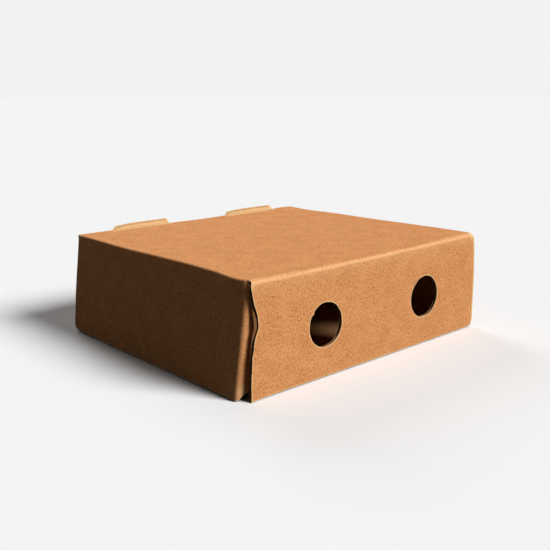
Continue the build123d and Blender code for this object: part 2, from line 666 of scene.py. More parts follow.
class Blank:
    """The flat outline of one layer of a sheet, as quads in millimetres."""

    WELD = 500           # steps to the millimetre at which two places are told apart
    EDGE_RUB = {Layer.OUTER: 1.7, Layer.INNER: 0.3}

    def __init__(self) -> None:
        """Starts an empty outline."""
        self.wear_and_highlight_amount: dict[int, float] = {}
        self.places: list[tuple[float, float]] = []
        self.quads: list[tuple[int, int, int, int]] = []
        self.known: dict[tuple[int, int], int] = {}

    def corner(self, x: float, y: float) -> int:
        """Numbers a place.

        Args:
            x: The place across the blank.
            y: The place along the blank.

        Returns:
            Its number, shared by the patches that meet there.
        """
        key = (round(x * self.WELD), round(y * self.WELD))
        if key not in self.known:
            self.known[key] = len(self.places)
            self.places.append((float(x), float(y)))
        return self.known[key]

    def grid(self, xs: Array, ys: Array, shape: Shape | None = None, skip: Skip | None = None,
             rub: float = 0.0) -> None:
        """Adds a patch of cells.

        Args:
            xs: Lines across, rising.
            ys: Lines along, rising.
            shape: Moves the corners of the cells to the cut outline.
            skip: Says which cells are cut out, by the middle of each.
            rub: How far the whole patch is mixed towards the pale colour of wear and painted highlight.
        """
        across, along = np.meshgrid(xs, ys, indexing="ij")
        if shape:
            across, along = shape(across, along)
        for i in range(len(xs) - 1):
            for j in range(len(ys) - 1):
                if skip and skip((xs[i] + xs[i + 1]) / 2, (ys[j] + ys[j + 1]) / 2):
                    continue
                cells = ((i, j), (i + 1, j), (i + 1, j + 1), (i, j + 1))
                quad = tuple(self.corner(across[cell], along[cell]) for cell in cells)
                self.quads.append(quad)
                if rub:
                    self.wear_and_highlight_amount.update(dict.fromkeys(quad, rub))

    def hole(self, xs: Array, ys: Array, radius: Callable[[Array], Array], rim: float = 0.6,
             rings: int = 4) -> None:
        """Adds a square patch with a round hole at its middle.

        Args:
            xs: Lines that the patch's upper and lower sides share with the grid round it.
            ys: Lines that its other two sides share.
            radius: The hole's radius at each angle.
            rim: Width of the last row of cells.
            rings: Rows of cells between the hole and the square.
        """
        middle = np.array(((xs[0] + xs[-1]) / 2, (ys[0] + ys[-1]) / 2))
        square = [(x, ys[0]) for x in xs[:-1]] + [(xs[-1], y) for y in ys[:-1]]
        square += [(x, ys[-1]) for x in xs[:0:-1]] + [(xs[0], y) for y in ys[:0:-1]]
        outer = np.array(square) - middle
        angle = np.arctan2(outer[:, 1], outer[:, 0])
        spoke = np.stack((np.cos(angle), np.sin(angle)), axis=1)
        edge = spoke * radius(angle)[:, None]
        inner = edge + spoke * rim
        rows = [middle + outer + (inner - outer) * ring / rings for ring in range(rings + 1)]
        rows.append(middle + edge)
        self.rings(rows)

    def rings(self, rows: Iterable[Array]) -> None:
        """Adds closed rings of cells.

        Args:
            rows: The places round each ring's edge, from the outermost edge in.
        """
        numbers = [[self.corner(*place) for place in row] for row in rows]
        for far, near in zip(numbers, numbers[1:]):
            for k in range(len(far)):
                after = (k + 1) % len(far)
                self.quads.append((far[k], far[after], near[after], near[k]))

    def shell(self, sheet: FoldedSheet, place: Place, layer: Layer) -> Shell:
        """Gives the outline a liner's thickness and folds it up.

        Args:
            sheet: The folded sheet.
            place: Puts places of the blank and their depth where they lie on the box.
            layer: Which liner.

        Returns:
            The closed liner.
        """
        flat = np.array(self.places)
        count = len(flat)
        near, far = sheet.board.depths(layer)
        points = np.concatenate([
            place(flat[:, 0], flat[:, 1], np.full(count, depth)) for depth in (near, far)])
        wear_and_highlight_amount = sheet.rub(flat[:, 0], flat[:, 1])
        outward = Paper.OUTSIDE if layer is Layer.OUTER else Paper.FLUTE_SIDE
        inward = Paper.FLUTE_SIDE if layer is Layer.OUTER else Paper.INSIDE
        faces = list(self.quads)
        faces += [tuple(count + corner for corner in reversed(quad)) for quad in self.quads]
        papers = [outward] * len(self.quads) + [inward] * len(self.quads)
        for corner, rub in self.wear_and_highlight_amount.items():
            wear_and_highlight_amount[corner] = max(wear_and_highlight_amount[corner], rub)
        # Painted shade: the inner liner's cut edges take the dark flute-side paper, not the pale cut paper.
        cut = Paper.CUT if layer is Layer.OUTER else Paper.FLUTE_SIDE
        edges = {(quad[k], quad[(k + 1) % 4]) for quad in self.quads for k in range(4)}
        for a, b in sorted(edges):
            if (b, a) not in edges:
                faces.append((a, count + a, count + b, b))
                papers.append(cut)
                wear_and_highlight_amount[a] = max(wear_and_highlight_amount[a], self.EDGE_RUB[layer])
                wear_and_highlight_amount[b] = max(wear_and_highlight_amount[b], self.EDGE_RUB[layer])
        return Shell(points, np.tile(flat, (2, 1)), np.tile(wear_and_highlight_amount, 2), faces, papers)


def finish_mesh(mesh: bpy.types.Mesh, blank: Array, wear_and_highlight_amount: Array) -> None:
    """Adds the blank's map and the pale marks of wear and painted highlight to a mesh and smooths its folds.

    Args:
        mesh: The mesh.
        blank: Each vertex's place on the blank, in millimetres.
        wear_and_highlight_amount: How far each vertex is mixed towards the pale colour of wear and painted
            highlight.
    """
    corners = np.empty(len(mesh.loops), dtype=np.int32)
    mesh.loops.foreach_get("vertex_index", corners)
    mesh.uv_layers.new(name=BLANK_UV).data.foreach_set("uv", (blank[corners] * MM).ravel())
    mesh.attributes.new(WEAR_AND_HIGHLIGHT, "FLOAT", "POINT").data.foreach_set("value", wear_and_highlight_amount)
    mesh.shade_smooth()
    mesh.set_sharp_from_angle(angle=math.radians(SHARP_TURN))
    mesh.update()


def liner_piece(name: str, shells: Iterable[Shell], stock: Stock) -> bpy.types.Object:
    """Joins liners into one piece.

    Args:
        name: The piece's name.
        shells: The closed liners.
        stock: The papers.

    Returns:
        The piece, at the origin.
    """
    points, blanks, wear_and_highlight_amounts, faces, papers = [], [], [], [], []
    start = 0
    for shell in shells:
        faces += [tuple(start + corner for corner in face) for face in shell.faces]
        papers += shell.papers
        points.append(shell.points)
        blanks.append(shell.blank)
        wear_and_highlight_amounts.append(shell.wear_and_highlight_amount)
        start += len(shell.points)
    mesh = bpy.data.meshes.new(name)
    mesh.from_pydata((np.concatenate(points) * MM).tolist(), [], faces)
    for material in stock.slots():
        mesh.materials.append(material)
    mesh.polygons.foreach_set("material_index", [int(paper) for paper in papers])
    finish_mesh(mesh, np.concatenate(blanks), np.concatenate(wear_and_highlight_amounts))
    piece = bpy.data.objects.new(name, mesh)
    bpy.context.collection.objects.link(piece)
    return piece


@dataclass
class FluteCore:
    """The fluted middle of the board, shown wherever an edge is cut."""

    board: Board
    paper: bpy.types.Material
    tree: Tree = field(init=False)

    INPUTS = (("Sheet", "NodeSocketGeometry"), ("Pitch", "NodeSocketFloat"), ("Swing", "NodeSocketFloat"),
              ("Middle", "NodeSocketFloat"), ("Thickness", "NodeSocketFloat"), ("Skew", "NodeSocketFloat"),
              ("Paper", "NodeSocketMaterial"))
    WELD = 0.01          # joins the edges that both faces of the paper share, in millimetres

    def __post_init__(self) -> None:
        """Builds the node tree that waves a flat sheet and gives it thickness."""
        tree = bpy.data.node_groups.new("flute_core", "GeometryNodeTree")
        for name, kind in self.INPUTS:
            tree.interface.new_socket(name, in_out="INPUT", socket_type=kind)
        tree.interface.new_socket("Flutes", in_out="OUTPUT", socket_type="NodeSocketGeometry")
        given = add_node(tree, "NodeGroupInput").outputs
        spot = add_node(tree, "ShaderNodeSeparateXYZ", {
            0: add_node(tree, "GeometryNodeInputPosition").outputs[0]}).outputs
        along = add_node(tree, "ShaderNodeMath", {
            0: spot["X"], 1: given["Skew"], 2: spot["Y"]}, operation="MULTIPLY_ADD").outputs[0]
        turns = add_node(tree, "ShaderNodeMath", {
            0: along, 1: given["Pitch"]}, operation="DIVIDE").outputs[0]
        angle = add_node(tree, "ShaderNodeMath", {0: turns, 1: math.tau}, operation="MULTIPLY").outputs[0]
        wave = add_node(tree, "ShaderNodeMath", {0: angle}, operation="COSINE").outputs[0]
        height = add_node(tree, "ShaderNodeMath", {
            0: wave, 1: given["Swing"], 2: given["Middle"]}, operation="MULTIPLY_ADD").outputs[0]
        waved = add_node(tree, "ShaderNodeCombineXYZ", {0: spot["X"], 1: spot["Y"], 2: height}).outputs[0]
        under = add_node(tree, "GeometryNodeSetPosition", {
            "Geometry": given["Sheet"], "Position": waved}).outputs[0]
        upper = add_node(tree, "GeometryNodeExtrudeMesh", {
            "Mesh": under, "Offset": (0.0, 0.0, 1.0), "Offset Scale": given["Thickness"],
            "Individual": False}, mode="FACES").outputs["Mesh"]
        lower = add_node(tree, "GeometryNodeFlipFaces", {"Mesh": under}).outputs[0]
        both = add_node(tree, "GeometryNodeJoinGeometry", {0: [upper, lower]}).outputs[0]
        closed = add_node(tree, "GeometryNodeMergeByDistance", {
            "Geometry": both, "Distance": self.WELD}).outputs[0]
        real = add_node(tree, "GeometryNodeRealizeInstances", {0: closed}).outputs[0]
        dressed = add_node(tree, "GeometryNodeSetMaterial", {"Geometry": real, "Material": given["Paper"]})
        add_node(tree, "NodeGroupOutput", {0: dressed.outputs[0]})
        self.tree = tree

    def piece(self, name: str, strips: Blank, sheet: FoldedSheet, place: Place) -> bpy.types.Object:
        """Waves flat strips into flutes and folds them up with the sheet.

        Args:
            name: The piece's name.
            strips: Strips of the blank, ruled finely across the flutes.
            sheet: The folded sheet.
            place: Puts places of the blank and their depth where they lie on the box.

        Returns:
            The piece, at the origin.
        """
        board = self.board
        flat = bpy.data.meshes.new(name + "_flat")
        flat.from_pydata([(x, y, 0.0) for x, y in strips.places], [], strips.quads)
        piece = bpy.data.objects.new(name, flat)
        bpy.context.collection.objects.link(piece)
        flutes = piece.modifiers.new("flutes", "NODES")
        flutes.node_group = self.tree
        values = {"Pitch": board.pitch, "Swing": (board.thickness - 2 * board.liner - board.paper) / 2,
                  "Middle": -(board.thickness + board.paper) / 2, "Thickness": board.paper,
                  "Skew": board.skew, "Paper": self.paper}
        for item in self.tree.interface.items_tree:
            if item.in_out == "INPUT" and item.name in values:
                flutes[item.identifier] = values[item.name]
        ready = piece.evaluated_get(bpy.context.evaluated_depsgraph_get())
        mesh = bpy.data.meshes.new_from_object(ready)
        piece.modifiers.remove(flutes)
        piece.data = mesh
        mesh.name = name
        bpy.data.meshes.remove(flat)
        spots = np.empty(len(mesh.vertices) * 3)
        mesh.vertices.foreach_get("co", spots)
        spots = spots.reshape(-1, 3)
        points = place(spots[:, 0], spots[:, 1], -spots[:, 2])
        mesh.vertices.foreach_set("co", (points * MM).ravel())
        finish_mesh(mesh, spots[:, :2], np.zeros(len(spots)))
        return piece


@dataclass
class Vent:
    """A punched steam hole with a slightly torn rim."""

    centre: float
    radius: float = 10.1
    patch: float = 13.0
    cells: int = 14
    raggedness: float = 0.1
    ragged_wave: float = 1.7
    ragged_seed: float = 9.0
    shift: tuple[float, float] = (0.0, 0.0)
    nick_angle: float = 0.0
    nick_depth: float = 0.0
    nick_width: float = 0.1
    ring_width: float = 4.5
    ring_back: float = 0.12
    ring_rows: int = 12
    ring_spokes: int = 160

    def punched(self, angle: Array) -> Array:
        """Returns the punched radius at each angle, from the middle of the patch."""
        return self.radius + self.shift[0] * np.cos(angle) + self.shift[1] * np.sin(angle)

    def rim(self, angle: Array) -> Array:
        """Tears the punched rim.

        Args:
            angle: Where to read it.

        Returns:
            The torn radius at each angle.
        """
        rough = ripple(np.cos(angle) * self.radius, self.ragged_wave, self.centre) + ripple(
            np.sin(angle) * self.radius, self.ragged_wave, self.centre + self.ragged_seed)
        away = np.angle(np.exp(1j * (angle - self.nick_angle)))
        nick = self.nick_depth * np.exp(-(away / self.nick_width) ** 2)
        return self.punched(angle) + rough * self.raggedness - nick

    def lines(self, middle: float) -> Array:
        """Returns the patch's lines round a middle."""
        return np.linspace(middle - self.patch, middle + self.patch, self.cells + 1)

    def holds(self, x: float, y: float, height: float) -> bool:
        """Returns whether a place lies in the patch."""
        return abs(x - self.centre) < self.patch and abs(y - height) < self.patch

    def flutes(self, strips: Blank, middle: float) -> None:
        """Adds a ring of fluted paper round the hole.

        Args:
            strips: Gets the ring.
            middle: The hole's middle along the blank.
        """
        angle = np.linspace(0.0, math.tau, self.ring_spokes + 1)[:-1]
        rows = []
        for back in np.linspace(self.ring_width, self.ring_back, self.ring_rows + 1):
            reach = self.punched(angle) + back
            across, along = self.centre + reach * np.cos(angle), middle + reach * np.sin(angle)
            rows.append(np.stack((across, along), axis=1))
        strips.rings(rows)


def columns(edge: float, vents: Iterable[Vent], marks: list[float],
            cell: float) -> tuple[Array, list[Array]]:
    """Rules the lines across a panel with vents.

    Args:
        edge: Half width of the panel.
        vents: The vents, from left to right.
        marks: Other places that need a line.
        cell: Wanted spacing.

    Returns:
        All the lines, and those of each vent's patch.
    """
    patches = [marked(vent.lines(vent.centre), marks) for vent in vents]
    starts = [-edge, *[patch[-1] for patch in patches]]
    stops = [*[patch[0] for patch in patches], edge]
    lines = list(patches)
    for start, stop in zip(starts, stops):
        steps = [start, *sorted(mark for mark in marks if start < mark < stop), stop]
        lines.append(ruled(*[(a, b, cell) for a, b in zip(steps, steps[1:])]))
    return np.unique(np.concatenate(lines)), patches


@dataclass
class FoldedPart:
    """What lid and tray share: a folded sheet with vents, and how finely its layers are ruled."""

    board: Board
    stock: Stock
    core: FluteCore
    vent_height: float = 24.6
    vents: tuple[Vent, ...] = ()
    cell: float = 2.4
    fold_cell: float = 0.5
    fold_rows: int = 8
    edge_row: float = 0.6
    flute_cell: float = 0.33
    flute_span: float = 3.0
    flute_depth: float = 6.0
    flute_back: float = 0.1
    hem_rows: int = 3
    warp: Warp = Warp()
    sheet: FoldedSheet = field(init=False)
    vent_line: float = field(init=False)

    def in_vent(self, x: float, y: float) -> bool:
        """Returns whether a place lies in a vent's patch."""
        return any(vent.holds(x, y, self.vent_line) for vent in self.vents)

    def beside(self, side: Side, lines: Array) -> Array:
        """Returns lines that lie so far out from a side fold, in rising order."""
        return np.sort(side.value * (self.sheet.half_width + lines))

    def hem(self, length: float) -> Array:
        """Returns the lines of a fluted strip along the foot of a flap."""
        return np.linspace(length - self.flute_depth, length - self.flute_back, self.hem_rows + 1)


@dataclass
class Lid(FoldedPart):
    """Top panel with its front flap, side flaps and the corner flaps behind the front flap."""

    half_width: float = 77.5
    front_head: float = -70.35
    inset: float = 0.25
    side_radius: float = 1.1
    corner_face: float = -67.9
    corner_radius: float = 2.1
    corner_open: float = 17.0
    corner_length: float = 25.0
    slit: float = 1.5
    tear_rise: float = 3.6
    tear_reach: float = 5.0
    tear_fray: float = 0.6
    tear_wave: float = 1.5
    tear_seed: float = 5.0
    right_row: float = 1.4
    foot_round: float = 3.8
    round_reach: float = 15.2
    foot_cell: float = 0.8
    notches: tuple[tuple[float, float], ...] = ((-56.45, -19.45), (23.05, 60.05))
    notch_line: float = 68.0
    notch_cell: float = 1.0
    side_end: float = 68.65
    top_cell: float = 3.0
    corner_strip: float = 2.5
    vents: tuple[Vent, ...] = (
        Vent(-35.1, radius=10.2, shift=(-0.1, -0.4), nick_angle=2.5, nick_depth=0.7, nick_width=0.07),
        Vent(35.1, radius=10.45, shift=(0.0, -0.3), nick_angle=-1.5, nick_depth=0.5, nick_width=0.12))
    # Height, then how far the outer and the inner liner stop short of the lid's left side.
    worn_end: tuple[tuple[float, float, float], ...] = (
        (0.5, -0.9, -0.9), (9.0, -0.9, -0.9), (14.0, -0.4, -0.5), (19.0, -0.1, -0.2), (20.5, 0.4, 0.0),
        (25.4, 1.3, 0.5), (27.0, 1.6, 0.7), (28.5, 2.5, 1.0), (30.0, 3.3, 1.4), (33.0, 3.3, 1.5),
        (36.8, 2.6, 1.4), (40.3, 1.3, 0.8), (45.4, 0.3, 0.1), (48.3, -0.3, -0.3), (50.3, 0.7, 0.7))
    # Height, then how far the crushed right end draws in.
    crushed_end: tuple[tuple[float, float], ...] = (
        (0.5, 2.2), (1.1, 1.2), (2.2, 0.5), (4.0, 0.2), (29.0, 0.2), (42.0, 0.9), (48.3, 1.9), (50.3, 3.2))
    end_fade: float = 52.0
    end_rows: int = 4
    fray: float = 0.16
    fray_wave: float = 1.6
    fray_seed: float = 3.0
    fray_fade: float = 4.0
    squeeze: float = 0.55
    squeeze_spot: tuple[float, float] = (-75.0, 32.0)
    squeeze_reach: tuple[float, float] = (3.5, 6.0)
    dents: tuple[Dent, ...] = (
        Dent((-77.0, -59.0, 48.5), (-1.1, 0.0, -0.2), (6.0, 8.0, 8.0)),
        Dent((-77.5, -30.0, 50.3), (0.0, 0.0, 0.64), (12.0, 36.0, 6.0)),
        Dent((-78.5, -71.0, 0.5), (-0.2, 0.0, -0.35), (5.0, 4.0, 5.0)),
        Dent((-83.0, 68.0, 3.0), (0.35, 0.0, 0.0), (6.0, 25.0, 13.0)),
        Dent((2.0, 71.0, 51.0), (0.0, 0.0, -0.4), (20.0, 10.0, 2.2)),
        Dent((69.0, 71.0, 51.0), (0.0, 0.0, 0.45), (7.0, 8.0, 2.2)),
        Dent((77.0, 50.0, 50.5), (0.0, 0.0, -0.35), (10.0, 15.0, 8.0)),
        Dent((77.0, -66.0, 50.0), (0.0, 0.0, 0.65), (45.0, 75.0, 18.0)),
        Dent((-78.0, 68.0, 46.0), (0.4, 0.0, 0.0), (9.0, 30.0, 16.0)),
        Dent((-82.0, 10.0, 0.5), (-0.1, 0.0, -0.1), (5.0, 55.0, 9.0)))
    # Pale spots on the lid's corners and at a corner flap's foot: partly wear, partly painted highlights.
    scuffs_and_highlights: tuple[ScuffAndHighlight, ...] = (
        ScuffAndHighlight((-77.0, 68.6, 49.3), 1.6, 2.0), ScuffAndHighlight((75.6, -69.6, 50.0), 2.2, 1.8),
        ScuffAndHighlight((-77.5, -70.2, 48.5), 2.0, 1.2), ScuffAndHighlight((-80.6, -66.9, 4.5), 3.2, 1.0))
    height: float = field(init=False)
    foot: float = field(init=False)
    rear: float = field(init=False)
    left_foot: float = field(init=False)
    right_foot: float = field(init=False)

    def __post_init__(self) -> None:
        """Takes the flaps' feet from the frame."""
        low, high = (np.array(corner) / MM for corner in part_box("lid"))
        radius = self.board.fold_radius
        self.height, self.foot, self.rear = high[2], low[2], high[1]
        self.left_foot, self.right_foot = low[0], high[0]
        fall = self.height - radius - self.foot
        self.sheet = FoldedSheet(
            self.board, self.half_width - self.side_radius, self.front_head + radius, self.rear - radius,
            self.corner_face + self.corner_radius, math.inf,
            left_lean=math.atan((-self.left_foot - self.inset - self.half_width) / fall),
            right_lean=math.atan((self.right_foot - self.inset - self.half_width) / fall),
            front_lean=math.atan((self.front_head - low[1] - self.inset) / fall),
            side_radius=self.side_radius, corner_radius=self.corner_radius,
            corner_soft=self.side_radius * QUARTER + self.slit,
            corner_open=math.radians(self.corner_open))
        self.vent_line = self.sheet.front - self.sheet.run(
            self.sheet.front_lean, self.height - self.vent_height)

    def place(self, x: Array, y: Array, depth: Array) -> Array:
        """Puts places of the blank where they lie on the closed box.

        Args:
            x: Places across the blank.
            y: Places along the blank.
            depth: How deep each place lies under the outer face, before the end that wear has eaten into is
                squeezed.

        Returns:
            Points in millimetres, one in each row.
        """
        away = np.hypot((x - self.squeeze_spot[0]) / self.squeeze_reach[0],
                        (self.flap_height(y) - self.squeeze_spot[1]) / self.squeeze_reach[1])
        squeezed = np.where(self.sheet.on_wing(x, y), 0.0, self.squeeze * np.exp(-away ** 2))
        points = self.sheet.place(x, y, depth * (1 - squeezed)) + np.array((0.0, 0.0, self.height))
        for dent in self.dents:
            points = points + dent.shift(points)
        return points + self.warp.shift(points)

    def flap_height(self, y: Array) -> Array:
        """Returns the height of places on the front flap."""
        past, turn = np.maximum(self.sheet.front - y, 0.0), np.full_like(y, QUARTER - self.sheet.front_lean)
        return self.height - self.sheet.bend(past, turn, self.board.fold_radius)[1]

    def foot_line(self) -> float:
        """Returns where the front flap's foot lies along the blank."""
        return self.sheet.front - self.sheet.run(self.sheet.front_lean, self.height - self.foot)

    def flap_end(self, side: Side, height: Array, share: float) -> Array:
        """Finds the end of the front flap.

        Args:
            side: Which end.
            height: Heights to find it at.
            share: 0 for the outer liner, 1 for the inner one.

        Returns:
            The place across the blank.
        """
        if side is Side.RIGHT:
            heights, short = zip(*self.crushed_end)
            return self.right_foot - np.interp(height, heights, short)
        heights, outer, inner = zip(*self.worn_end)
        short = np.interp(height, heights, outer) * (1 - share) + np.interp(height, heights, inner) * share
        frayed = ripple(height, self.fray_wave, self.fray_seed + share) * self.fray
        frayed = frayed * ease(self.height, self.height - self.fray_fade, height)
        return -self.half_width + short + frayed

    def shape_flap(self, share: float, x: Array, y: Array) -> Places:
        """Brings the front flap's ends to the outline that wear has left.

        Args:
            share: 0 for the outer liner, 1 for the inner one.
            x: Places across the blank.
            y: Places along the blank.

        Returns:
            The moved places.
        """
        height = self.flap_height(y)
        moved = x.copy()
        for side in Side:
            edge = side.value * self.sheet.half_width
            weight = ease(side.value * self.end_fade, edge, x)
            moved = moved + weight * (self.flap_end(side, height, share) - edge)
        return moved, y

    def to_end(self, side: Side, x: Array, y: Array) -> Places:
        """Runs a fluted strip from its inner line to the front flap's end.

        Args:
            side: Which end.
            x: Places across the strip, 0 at the inner line and 1 or -1 at the end.
            y: Places along the blank.

        Returns:
            The places on the blank.
        """
        inner = side.value * (self.sheet.half_width - self.flute_depth)
        end = self.flap_end(side, self.flap_height(y), Layer.OUTER.value) - side.value * self.flute_back
        return inner + (end - inner) * np.abs(x), y

    def wing_length(self, side: Side) -> float:
        """Returns the length of a side flap from its fold's start."""
        return self.sheet.run(self.sheet.side_lean(side), self.height - self.foot, True)

    def wing_lines(self, side: Side) -> Array:
        """Rules a side flap.

        Args:
            side: Which flap.

        Returns:
            Lines out from the fold's start.
        """
        arc = self.sheet.arc(self.sheet.side_lean(side), True)
        start, length = self.sheet.corner_soft, self.wing_length(side)
        low, hem = length - self.foot_round, length - self.edge_row
        return ruled((0.0, arc, arc / self.fold_rows), (arc, start, self.fold_cell), (start, low, self.cell),
                     (low, hem, self.foot_cell), (hem, length, self.edge_row))

    def round_off(self, side: Side, x: Array, y: Array) -> Places:
        """Rounds a side flap's lower corner at the back.

        Args:
            side: Which flap.
            x: Places across the blank.
            y: Places along the blank.

        Returns:
            The places, with the ends of the lowest rows drawn in.
        """
        low = np.abs(x) - self.sheet.half_width - self.wing_length(side) + self.foot_round
        over = np.clip(low / self.foot_round, 0.0, 1.0)
        drawn = self.foot_round * (1.0 - np.sqrt(1.0 - over ** 2))
        return x, y - drawn * ease(self.side_end - self.round_reach, self.side_end, y)

    def tear(self, side: Side, share: float, x: Array, y: Array) -> Places:
        """Tears a corner flap's foot up from the side flap's foot.

        Args:
            side: Which flap.
            share: 0 for the outer liner, 1 for the inner one.
            x: Places across the blank.
            y: Places along the blank.

        Returns:
            The places, drawn up towards the slit.
        """
        start, length = self.sheet.corner_soft, self.wing_length(side)
        past = self.sheet.corner_front - y
        rise = self.tear_rise * ease(0.0, self.tear_reach, past)
        frayed = ripple(past, self.tear_wave, self.tear_seed + share) * self.tear_fray
        rise = rise + frayed * ease(0.0, self.tear_wave, past)
        down = np.abs(x) - self.sheet.half_width
        down = start + (down - start) * (length - rise - start) / (length - start)
        return side.value * (self.sheet.half_width + down), y

    def top_lines(self) -> tuple[Array, list[Array], Array]:
        """Rules the top panel.

        Returns:
            The lines across it, those of the vents' patches, and the lines along it.
        """
        edge, line = self.sheet.half_width, self.notch_line
        rims = [self.edge_row - edge, edge - self.right_row]
        ends = [end for notch in self.notches for end in notch]
        across, patches = columns(edge, self.vents, [*rims, *ends], self.cell)
        fold = self.sheet.corner_front
        past = fold + self.corner_strip
        along = ruled((self.sheet.front, fold, self.fold_cell), (fold, past, self.fold_cell),
                      (past, line, self.top_cell), (line, self.side_end, self.notch_cell),
                      (self.side_end, self.sheet.back, self.notch_cell))
        return across, patches, along

    def in_notch(self, x: float, y: float) -> bool:
        """Returns whether a place lies in one of the notches for the tabs."""
        return y > self.notch_line and any(start < x < stop for start, stop in self.notches)

    def blank(self, layer: Layer) -> Blank:
        """Cuts one liner of the lid.

        Args:
            layer: Which liner.

        Returns:
            The flat outline.
        """
        sheet = self.sheet
        cut = Blank()
        across, patches, along = self.top_lines()
        cut.grid(across, along, skip=self.in_notch)
        arc = sheet.arc(sheet.front_lean)
        foot = self.foot_line()
        patch = self.vents[0].lines(self.vent_line)
        hem = foot + self.edge_row
        rows = np.concatenate((ruled((foot, hem, self.edge_row), (hem, patch[0], self.cell))[:-1], patch,
                               ruled((patch[-1], sheet.front - arc, self.cell),
                                     (sheet.front - arc, sheet.front, arc / self.fold_rows))[1:]))
        cut.grid(across, rows, shape=partial(self.shape_flap, layer.value), skip=self.in_vent)
        for vent, lines in zip(self.vents, patches):
            cut.hole(lines, patch, vent.rim)
        sides = between(along, sheet.corner_front, self.side_end)
        nose = between(along, sheet.front, sheet.corner_front)
        bent = min(sheet.corner_front - self.corner_radius * QUARTER, sheet.front)
        behind = ruled((sheet.corner_front - self.corner_length, bent, self.cell),
                       (bent, sheet.front, self.fold_cell))
        for side in Side:
            out = self.wing_lines(side)
            cut.grid(self.beside(side, out), sides, shape=partial(self.round_off, side))
            cut.grid(self.beside(side, between(out, 0.0, sheet.corner_soft)), nose)
            cut.grid(self.beside(side, between(out, sheet.corner_soft, math.inf)),
                     np.concatenate((behind[:-1], nose)), shape=partial(self.tear, side, layer.value))
        return cut

    def strips(self) -> Blank:
        """Cuts the strips of fluted paper along the lid's edges.

        Returns:
            The flat strips, a little short of the liners' edges.
        """
        sheet, fine, span, deep, back = (
            self.sheet, self.flute_cell, self.flute_span, self.flute_depth, self.flute_back)
        strips = Blank()
        edge, start, reach = sheet.half_width, sheet.corner_soft, self.corner_length
        foot = self.foot_line() + back
        strips.grid(ruled((-edge + deep, edge - deep, span)), ruled((foot, foot + deep, fine)))
        rows = ruled((foot, sheet.front - sheet.arc(sheet.front_lean), fine))
        share = np.linspace(0.0, 1.0, self.end_rows + 1)
        past = np.sort(sheet.corner_front - ruled((0.0, reach - back, fine)))
        last = np.sort(sheet.corner_front - ruled((reach - deep, reach - back, fine)))
        slit = np.linspace(start + back, start + deep, self.hem_rows + 1)
        for side in Side:
            strips.grid(np.sort(side.value * share), rows, shape=partial(self.to_end, side))
            arc = sheet.arc(sheet.side_lean(side), True)
            length = self.wing_length(side)
            hem = self.beside(side, self.hem(length))
            strips.grid(hem, ruled((sheet.corner_front, self.side_end - back, fine)),
                        shape=partial(self.round_off, side))
            strips.grid(self.beside(side, ruled((arc, length - deep, span))),
                        ruled((self.side_end - deep, self.side_end - back, fine)))
            tear = partial(self.tear, side, CORE_SHARE)
            strips.grid(hem, past, shape=tear)
            strips.grid(self.beside(side, slit), past)
            strips.grid(self.beside(side, ruled((start + deep, length - deep, span))), last, shape=tear)
        line = self.notch_line - back
        cuts = [cut for start, stop in self.notches for cut in (start - back, stop + back)]
        marks = [-edge, *cuts, edge]
        across = ruled(*[(start, stop, span) for start, stop in zip(marks, marks[1:])])
        strips.grid(across, ruled((line - deep, line, fine), (line, sheet.back, fine)),
                    skip=lambda x, y: y > line and any(a < x < b for a, b in (cuts[:2], cuts[2:])))
        for vent in self.vents:
            vent.flutes(strips, self.vent_line)
        return strips

    def build(self) -> list[bpy.types.Object]:
        """Makes the lid's liners and flutes.

        Returns:
            The pieces, riding on the lid and dressed.
        """
        shells = [self.blank(layer).shell(self.sheet, self.place, layer) for layer in Layer]
        for shell in shells:
            # The pale spots add wear and painted highlights.
            for pale_spot in self.scuffs_and_highlights:
                shell.wear_and_highlight_amount = np.maximum(shell.wear_and_highlight_amount, pale_spot.rub(shell.points))
        liners = liner_piece("lid_liners", shells, self.stock)
        flutes = self.core.piece("lid_flutes", self.strips(), self.sheet, self.place)
        for piece in (liners, flutes):
            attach(piece, "lid")
        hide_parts("lid")
        return [liners, flutes]


